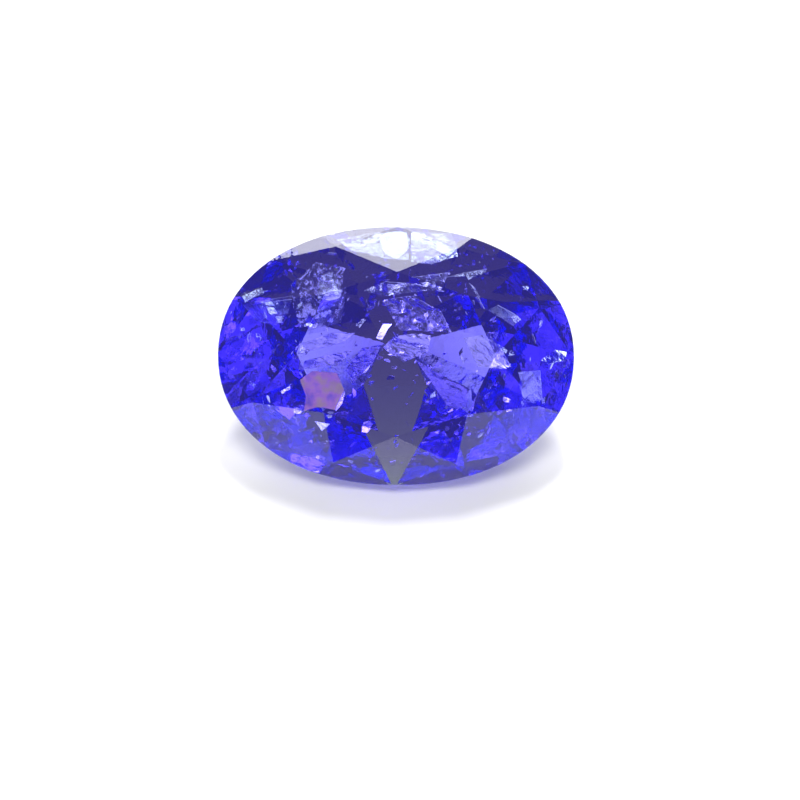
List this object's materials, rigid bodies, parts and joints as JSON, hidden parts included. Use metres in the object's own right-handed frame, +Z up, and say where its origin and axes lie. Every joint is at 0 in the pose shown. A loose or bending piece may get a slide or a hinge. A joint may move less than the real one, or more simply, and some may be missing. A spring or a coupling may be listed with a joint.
{
  "type": "oval cut tanzanite",
  "caption": "Faceted oval tanzanite gemstone, clear violet-blue, resting on a lower facet with its flat table leaning forward.",
  "frame": {"origin": "on the surface that the stone lies on, under the middle of its outline", "axes": "+Z up, +X along the stone's length, -Y towards the side that the table faces"},
  "size_m": [0.008, 0.0048, 0.0039],
  "materials": {
    "crystal": "polished, clear violet-blue crystal with fine fractures inside"
  },
  "bodies": {
    "root": {"tanzanite": "crystal"}
  },
  "joints": []
}
